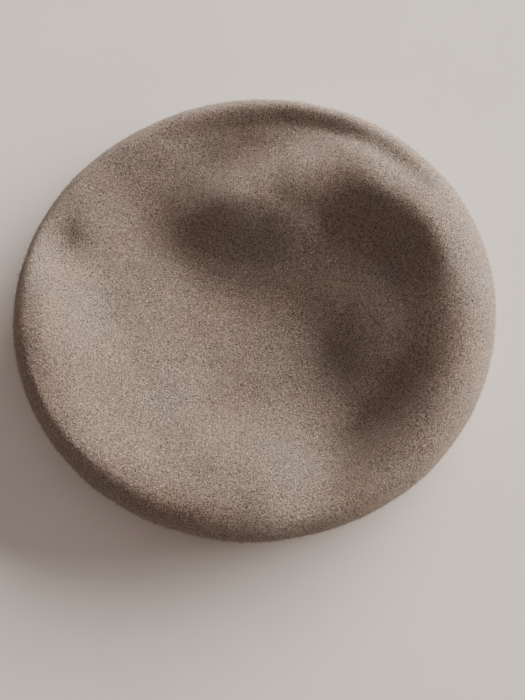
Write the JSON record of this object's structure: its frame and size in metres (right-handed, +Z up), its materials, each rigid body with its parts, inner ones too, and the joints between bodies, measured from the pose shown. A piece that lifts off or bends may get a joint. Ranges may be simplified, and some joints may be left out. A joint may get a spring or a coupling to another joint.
{
  "type": "beret",
  "caption": "Soft round wool beret lying crown up, with a leather-bound head opening, drawstring and lining.",
  "frame": {"origin": "centre of the bounding box, on the surface that the beret lies on", "axes": "+Z up out of the crown, front of the beret towards -Y, wearer's left towards +X"},
  "size_m": [0.2802, 0.2682, 0.0491],
  "materials": {
    "crown": "thick fulled wool with a short nap, matt khaki brown",
    "headband_binding": "thin dark brown leather, fine grain, satin",
    "drawstring": "round braided cotton cord, matt dark brown",
    "lining": "plain-weave lining cloth, slight sheen",
    "badge_stiffener": "stiff sized buckram, matt",
    "eyelets": "darkened brass, satin",
    "size_label": "blank woven satin tape"
  },
  "bodies": {
    "beret": {"crown": "crown", "headband_binding": "headband_binding", "lining_tip": "lining", "lining_side": "lining", "badge_stiffener": "badge_stiffener", "eyelet_front": "eyelets", "eyelet_rear": "eyelets", "eyelet_washer_front": "eyelets", "eyelet_washer_rear": "eyelets", "size_label": "size_label"},
    "drawstring": {"drawstring": "drawstring"}
  },
  "joints": [
    {"name": "drawstring_slide", "type": "hinge", "parent": "beret", "child": "drawstring", "pos_m": [0, 0, 0.0025], "axis": [0, 0, 1], "range_deg": [-3, 3]}
  ]
}
